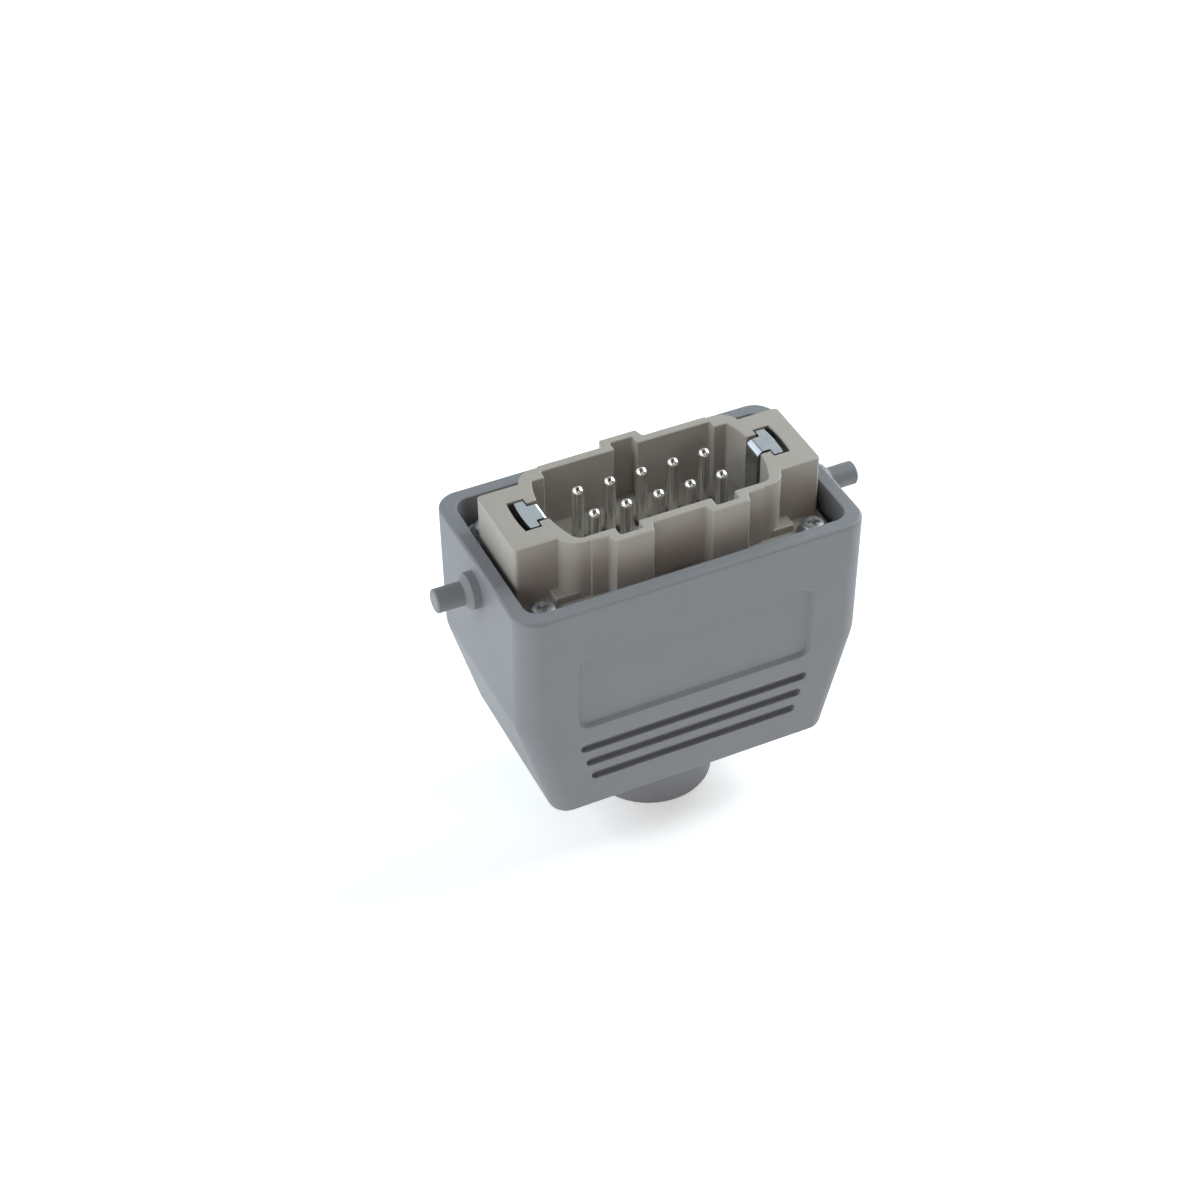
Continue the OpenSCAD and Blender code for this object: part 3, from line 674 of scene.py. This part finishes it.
pin_profile = [(neck_r, flange_low - overlap), (neck_r, neck_z), (pin_r, neck_z)]
pin_profile += [(pin_r * math.cos(a), tip_z - pin_r * (1 - math.sin(a))) for a in quarter_turn(10)[:-1]]
pin_profile += [(tip_flat, tip_z)]
contact = lathe("contact", pin_profile)
box_angle = math.degrees(math.acos(box_half / barrel_r))
barrel_outline = soften([(box_half, box_out, box_soft), (-box_half, box_out, box_soft)]
                        + arc(0, 0, barrel_r, 180 - box_angle, 360 + box_angle, 28))
wire_bore = circle(0, 0, wire_r)
combine(contact, "UNION",
        slab("barrel", barrel_outline, [wire_bore], barrel_z, wire_top, soft_low=barrel_soft),
        slab("barrel_end", barrel_outline, [], wire_top - overlap / 4, flange_low, soft_high=barrel_soft))
clamp_hole = lathe("clamp_hole", [(clamp_r, 0), (clamp_r, clamp_depth)], sides=24)
combine(contact, "DIFFERENCE", lay(clamp_hole, -90, "X", (0, 0, access_z)))

copies_tree, size = new_geometry_tree(
    "copies_on_a_grid", Part="Object", Columns="Int", Rows="Int", Pitch="Float", Spacing="Float",
    Height="Float", RowTurn="Float", ColumnTurn="Float", LooseTurn="Float", Seed="Int", Finish="Material")
columns_less = add(copies_tree, "ShaderNodeMath", {0: size["Columns"], 1: 1}, operation="SUBTRACT")
rows_less = add(copies_tree, "ShaderNodeMath", {0: size["Rows"], 1: 1}, operation="SUBTRACT")
length = add(copies_tree, "ShaderNodeMath", {0: columns_less.outputs[0], 1: size["Pitch"]},
             operation="MULTIPLY")
width = add(copies_tree, "ShaderNodeMath", {0: rows_less.outputs[0], 1: size["Spacing"]},
            operation="MULTIPLY")
grid = add(copies_tree, "GeometryNodeMeshGrid", {
    "Size X": length.outputs[0], "Size Y": width.outputs[0],
    "Vertices X": size["Columns"], "Vertices Y": size["Rows"]})
spot = add(copies_tree, "GeometryNodeInputPosition")
place = add(copies_tree, "ShaderNodeSeparateXYZ", {0: spot.outputs[0]})
on_left = add(copies_tree, "ShaderNodeMath", {0: place.outputs["X"], 1: 0}, operation="LESS_THAN")
in_front = add(copies_tree, "ShaderNodeMath", {0: place.outputs["Y"], 1: 0}, operation="LESS_THAN")
loose = add(copies_tree, "FunctionNodeRandomValue", {"Max": size["LooseTurn"], "Seed": size["Seed"]})
loose_value = [s for s in loose.outputs if s.enabled][0]
by_column = add(copies_tree, "ShaderNodeMath", {
    0: on_left.outputs[0], 1: size["ColumnTurn"], 2: loose_value}, operation="MULTIPLY_ADD")
turned = add(copies_tree, "ShaderNodeMath", {
    0: in_front.outputs[0], 1: size["RowTurn"], 2: by_column.outputs[0]}, operation="MULTIPLY_ADD")
about_z = add(copies_tree, "ShaderNodeCombineXYZ", {"Z": turned.outputs[0]})
part = add(copies_tree, "GeometryNodeObjectInfo", {"Object": size["Part"], "As Instance": True})
copies = add(copies_tree, "GeometryNodeInstanceOnPoints", {
    "Points": grid.outputs[0], "Instance": part.outputs["Geometry"], "Rotation": about_z.outputs[0]})
lift = add(copies_tree, "ShaderNodeCombineXYZ", {"Z": size["Height"]})
lifted = add(copies_tree, "GeometryNodeTransform", {
    "Geometry": copies.outputs[0], "Translation": lift.outputs[0]})
end_tree(copies_tree, lifted.outputs[0], size["Finish"])


def copies_of(name, part, finish, Height=0.0, RowTurn=0.0, ColumnTurn=0.0, LooseTurn=0.0, **grid_sizes):
    """Piece made of copies of one part on a grid; the part itself is used up."""
    made = run_tree(name, copies_tree, Part=part, Finish=finish, Height=Height, RowTurn=RowTurn,
                    ColumnTurn=ColumnTurn, LooseTurn=LooseTurn, Seed=3, **grid_sizes)
    bpy.data.objects.remove(part)
    finish_surface(made, finish)
    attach(made, "root")
    return made


# Silver plate on turned copper alloy: bright, faintly warm, clouded 1.5 mm wide, with turning marks
# round the pin that stretch its highlights. The marks are drawn 0.25 mm apart, coarser than real, so
# that they show.
silver, tree, shader, place = new_material("silver_plated_turned_contact", {"Metallic": 1})
marks = add(tree, "ShaderNodeTexWave", {
    "Vector": place, "Scale": math.tau / (20 * 0.25 * mm), "Distortion": 0.4}, bands_direction="Z")
cloud = add(tree, "ShaderNodeTexNoise", {"Vector": place, "Scale": 1 / (1.5 * mm), "Detail": 2})
draw_finish(tree, shader, tint_by=cloud, tints=("#d8d5cf", "#e6e4e0"), gloss_by=cloud, roughness=(0.2, 0.3),
            relief_by=marks, strength=0.12, depth=0.01 * mm)
contacts = copies_of("contacts", contact, silver, Columns=COLUMNS, Rows=2, Pitch=pitch, Spacing=2 * row_y,
                     RowTurn=math.pi)
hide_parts(*[f"contact_pin_{i + 1}" for i in range(2 * COLUMNS)])

# Earth contacts. Two strips of tin-plated sheet, punched and bent: a T head that lies in the top of
# each end block, a leg down its slot, and below the flange a cross bar with two ears and a tail.
sheet = (earth_x, earth_x + earth_sheet)
leg_x = earth_x - 0.45 * mm
leg_half = 2.2 * mm
leg_low = flange_low - 1 * mm
fold_in = 0.8 * mm
fold_out = fold_in + earth_sheet
fold_x = leg_x + fold_out
fold_z = earth_top - fold_out
head_half = 4 * mm
head_x = 24.6 * mm
head_end = 29 * mm
head_soft = 0.3 * mm
neck_soft = 0.2 * mm
neck_end = 20 * mm
tail_z = 44.5 * mm
tail_half = 4.5 * mm
bar_z = 54 * mm
bar_half = 16.5 * mm
ear_end = 31.85 * mm
ear_half = 3.25 * mm
burr_r = 2.8 * mm
burr_h = 1.6 * mm
tapped_r = 2.05 * mm
tapped_reach = 4 * mm
earth_screw_z = 49.5 * mm
side_view = [(leg_x + earth_sheet, leg_low, 0)] + arc(fold_x, fold_z, fold_in, 180, 90, 6)
side_view += [(head_end, earth_top - earth_sheet, 0), (head_end, earth_top, 0)]
side_view += arc(fold_x, fold_z, fold_out, 90, 180, 8) + [(leg_x, leg_low, 0)]
earth = lay(slab("earth_contact", soften(side_view), [], -bar_half, bar_half), 90, "X")
plan = [(neck_end, -leg_half, 0), (head_x, -leg_half, neck_soft), (head_x, -head_half, head_soft)]
plan += arc(arc_x, 0, earth_head_r, -8.05, 8.05, 10)
plan += [(head_x, head_half, head_soft), (head_x, leg_half, neck_soft), (neck_end, leg_half, 0)]
combine(earth, "INTERSECT", slab("plan", soften(plan), [], leg_low - past, top_z))
burr = lathe("burr", [(burr_r, -burr_h), (burr_r, earth_sheet / 2)], sides=32)
lay(burr, 90, "Y", (earth_x, 0, earth_screw_z))
ears = [box("ear", (earth_x, ear_end), (s * fix_y - ear_half, s * fix_y + ear_half),
            (seat_z, seat_z + earth_sheet)) for s in (-1, 1)]
combine(earth, "UNION", box("bar", sheet, (-bar_half, bar_half), (bar_z, flange_low)),
        box("tail", sheet, (-tail_half, tail_half), (tail_z, flange_low)), burr, *ears)
tapped = lathe("tapped", [(tapped_r, -tapped_reach), (tapped_r, tapped_reach)], sides=32)
lay(tapped, 90, "Y", (earth_x, 0, earth_screw_z))
ear_holes = [slab("ear_hole", circle(fix_x, s * fix_y, screw_hole), [], seat_z - past, flange_low + past)
             for s in (-1, 1)]
combine(earth, "DIFFERENCE", tapped, *ear_holes)
rounding = earth.modifiers.new("punched edges", "BEVEL")
rounding.width = 0.16 * mm
rounding.segments = 2
rounding.limit_method = "ANGLE"
rounding.angle_limit = math.radians(50)
bake_modifiers(earth)
earth.data.transform(Matrix.Translation((-earth_x, 0, 0)))

# Tin plate on rolled sheet: pale and soft in its shine, with a faint rolling grain along the strip
# and slight blotches from the bath, 2.5 mm wide. The grain is drawn 0.15 mm wide and 1.8 mm long.
tin, tree, shader, place = new_material("tin_plated_sheet", {"Metallic": 1})
grain_stretch = 12
along = add(tree, "ShaderNodeMapping", {"Vector": place, "Scale": (1, grain_stretch, 1)})
grain = add(tree, "ShaderNodeTexNoise", {
    "Vector": along.outputs[0], "Scale": 1 / (grain_stretch * 0.15 * mm), "Detail": 3})
blotch = add(tree, "ShaderNodeTexNoise", {"Vector": place, "Scale": 1 / (2.5 * mm), "Detail": 2})
draw_finish(tree, shader, tint_by=blotch, tints=("#c3ccd2", "#d6dce0"), gloss_by=grain, roughness=(0.16, 0.3),
            relief_by=grain, strength=0.1, depth=0.01 * mm)
earths = copies_of("earth_contacts", earth, tin, Columns=2, Rows=1, Pitch=2 * earth_x, Spacing=0.0,
                   ColumnTurn=math.pi)
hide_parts("pe_contact_left", "pe_contact_right")

# Earth terminals. A small steel saddle lies on the tail of each earth contact and grips the wire
# under a cross-slotted screw that runs into the tapped burr.
saddle_out = 3.7 * mm


def screw(name, shank_r, length, head_r, head_h):
    """Pan-head screw with a cross recess, its head above z = 0."""
    point = 0.3 * mm
    rim = 0.12 * mm
    crown = 0.55 * head_h
    crown_flat = 0.3 * mm
    profile = [(shank_r - point, -length), (shank_r, point - length), (shank_r, 0), (head_r - rim, 0),
               (head_r, rim)]
    profile += [(head_r * math.cos(a) ** 0.5, head_h - crown + crown * math.sin(a))
                for a in quarter_turn(8)[:-1]]
    profile += [(crown_flat, head_h)]
    made = lathe(name, profile)
    # The recess narrows to its ground; reach and depth are shares of the head, the last one above it.
    wing_half = 0.17 * head_r
    wings = []
    for angle in (0, 90):
        turn = Matrix.Rotation(math.radians(angle), 3, "Z")
        loops = []
        for reach, depth in ((0.36, 0.55), (0.58, 0.0), (0.58, -0.2)):
            x, y, z = reach * head_r, wing_half * (1 - depth * 0.5), head_h * (1 - depth)
            loops.append([turn @ Vector((sx * x, sy * y, z))
                          for sx, sy in ((1, 1), (-1, 1), (-1, -1), (1, -1))])
        wings.append(solid("wing", loops))
    combine(made, "DIFFERENCE", *wings)
    return made


def dress_node(name, material):
    """Gives a piece that stays as the solid made it its material."""
    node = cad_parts[name]
    node.data.materials.clear()
    node.data.materials.append(material)


earth_screw = screw("earth_screw", shank_r=2 * mm, length=5.9 * mm, head_r=3.8 * mm, head_h=2.6 * mm)
lay(earth_screw, 90, "Y", (saddle_out, 0, earth_screw_z))

# Zinc-plated steel: cool grey with a thin clear passivation, so it is bright but not mirror-like,
# and slightly cloudy from the barrel it was plated in. The clouds are 0.8 mm wide.
zinc, tree, shader, place = new_material("zinc_plated_steel", {"Metallic": 1})
cloud = add(tree, "ShaderNodeTexNoise", {"Vector": place, "Scale": 1 / (0.8 * mm), "Detail": 3})
draw_finish(tree, shader, tint_by=cloud, tints=("#b0b3b7", "#c4c6c9"), gloss_by=cloud, roughness=(0.42, 0.58),
            relief_by=cloud, strength=0.1, depth=0.02 * mm)
earth_screws = copies_of("earth_screws", earth_screw, zinc, Columns=2, Rows=1, Pitch=2 * earth_x, Spacing=0.0,
                         ColumnTurn=math.pi)
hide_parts("pe_screws")
for name in ("pe_clamp_left", "pe_clamp_right"):
    dress_node(name, zinc)

# Wire terminals. Each barrel has a screw from the long side of the block, and a thin steel leaf
# between the end of the screw and the wire keeps the strands whole.
clamp_seat = 6.25 * mm
clamp_screw = screw("clamp_screw", shank_r=1.5 * mm, length=5 * mm, head_r=2.7 * mm, head_h=1.9 * mm)
lay(clamp_screw, -90, "X", (0, clamp_seat, access_z))
clamp_screws = copies_of("clamp_screws", clamp_screw, zinc, Columns=COLUMNS, Rows=2, Pitch=pitch,
                         Spacing=2 * row_y, RowTurn=math.pi)
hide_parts("terminal_screws")
dress_node("wire_guards", zinc)

# Fixing screws. Four pan-head screws with split washers hold the flange and the ears of the earth
# contacts on the pillars of the hood. Each stops at its own angle.
washer_t = 0.7 * mm
fixing_screw = screw("fixing_screw", shank_r=1.5 * mm, length=14 * mm, head_r=2.4 * mm, head_h=1.5 * mm)
fixing_screws = copies_of("hood_screws", fixing_screw, zinc, Columns=2, Rows=2, Pitch=2 * fix_x,
                          Spacing=2 * fix_y, Height=flange_top + washer_t, LooseTurn=math.pi / 2)
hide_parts("fixing_screws")
dress_node("lock_washers", zinc)

# Studio. A pale light table, which glows a little so that its shadow stays faint, under soft lights:
# a strong one on the right, a weaker one on the left, two warm ones that lift the front, and three
# at the back that put shine on the metal. The surround is pale near the table and dim above it.
floor_drop = 0.05 * mm
bm = bmesh.new()
bmesh.ops.create_grid(bm, x_segments=1, y_segments=1, size=1, matrix=Matrix.Translation((0, 0, -floor_drop)))
floor = new_object("floor", bm)

# Pale paper over the lit table: matt white, with fibres 3 mm long that hardly show.
paper, tree, shader, place = new_material("pale_paper_floor", {
    "Roughness": 0.9, "Specular IOR Level": 0.1, "Emission Color": linear("#ffffff"),
    "Emission Strength": 0.34})
fibre = add(tree, "ShaderNodeTexNoise", {"Vector": place, "Scale": 1 / (3 * mm), "Detail": 2})
tone = add(tree, "ShaderNodeMix", {"Factor": fibre.outputs["Fac"], "A": linear("#f6f6f6"),
                                   "B": linear("#fafafa")}, data_type="RGBA")
tree.links.new(tone.outputs["Result"], shader.inputs["Base Color"])
floor.data.materials.append(paper)


def soft_light(name, place, power, colour, size=0.4):
    """Round soft light at a place in metres, aimed at the middle of the object."""
    lamp = bpy.data.lights.new(name, "AREA")
    lamp.shape = "DISK"
    lamp.size = size
    lamp.energy = power
    lamp.color = linear(colour)[:3]
    made = bpy.data.objects.new(name, lamp)
    made.location = place
    to_object = Vector((0, 0, 45 * mm)) - Vector(place)
    made.rotation_euler = to_object.to_track_quat("-Z", "Y").to_euler()
    bpy.context.collection.objects.link(made)


soft_light("right_light", place=(0.5, 0.03, 0.42), power=4, colour="#f2fefd")
soft_light("left_light", place=(-0.55, 0, 0.42), power=2.3, colour="#eefcff")
soft_light("front_light", place=(-0.45, -0.42, 0.3), power=0.55, colour="#fff2e8")
soft_light("front_card", place=(0.05, -0.5, 0.5), power=0.45, colour="#fff0ec")
soft_light("back_light", place=(-0.4, 0.5, 0.45), power=1.9, colour="#edf6ff", size=0.8)
soft_light("back_card", place=(0.22, 0.48, 0.5), power=0.25, colour="#f6feff")
soft_light("low_back_light", place=(0.6, 0.5, 0.16), power=2, colour="#eefdff")
world = bpy.data.worlds.new("pale_surround")
world.use_nodes = True
tree = world.node_tree
surround = tree.nodes["Background"]
surround.inputs["Color"].default_value = linear("#fdfbfa")
toward = add(tree, "ShaderNodeTexCoord")
height = add(tree, "ShaderNodeSeparateXYZ", {0: toward.outputs["Generated"]})
fade = add(tree, "ShaderNodeMapRange", {
    "Value": height.outputs["Z"], "From Min": 0.05, "From Max": 0.4, "To Min": 0.7, "To Max": 0.04},
    interpolation_type="SMOOTHSTEP")
tree.links.new(fade.outputs["Result"], surround.inputs["Strength"])
scene = bpy.context.scene
scene.world = world
scene.view_settings.view_transform = "Standard"

# Camera. A long lens from the front left, well above the rim, at the angle of the picture. It leans a
# little to one side and is moved sideways and up, so that the object stands where it does there.
azimuth = math.radians(-24.844)
elevation = math.radians(41.315)
roll = math.radians(-0.6)
distance = 490.688 * mm
aim = Vector((0, 0, 42.5 * mm))
shift_right = -9.72 * mm
shift_up = 1.316 * mm
level = Vector((math.cos(azimuth), math.sin(azimuth), 0))
ahead = Vector((-math.sin(azimuth), math.cos(azimuth), 0))
back = math.sin(elevation) * Vector((0, 0, 1)) - math.cos(elevation) * ahead
above = back.cross(level)
right = math.cos(roll) * level + math.sin(roll) * above
up = math.cos(roll) * above - math.sin(roll) * level
stand = aim + shift_right * right + shift_up * up + distance * back
lens = bpy.data.cameras.new("camera")
lens.sensor_width = 36
lens.lens = 74.283
lens.clip_start = 0.01
camera = bpy.data.objects.new("camera", lens)
camera.matrix_world = Matrix.Translation(stand) @ Matrix((right, up, back)).transposed().to_4x4()
bpy.context.collection.objects.link(camera)
scene.camera = camera
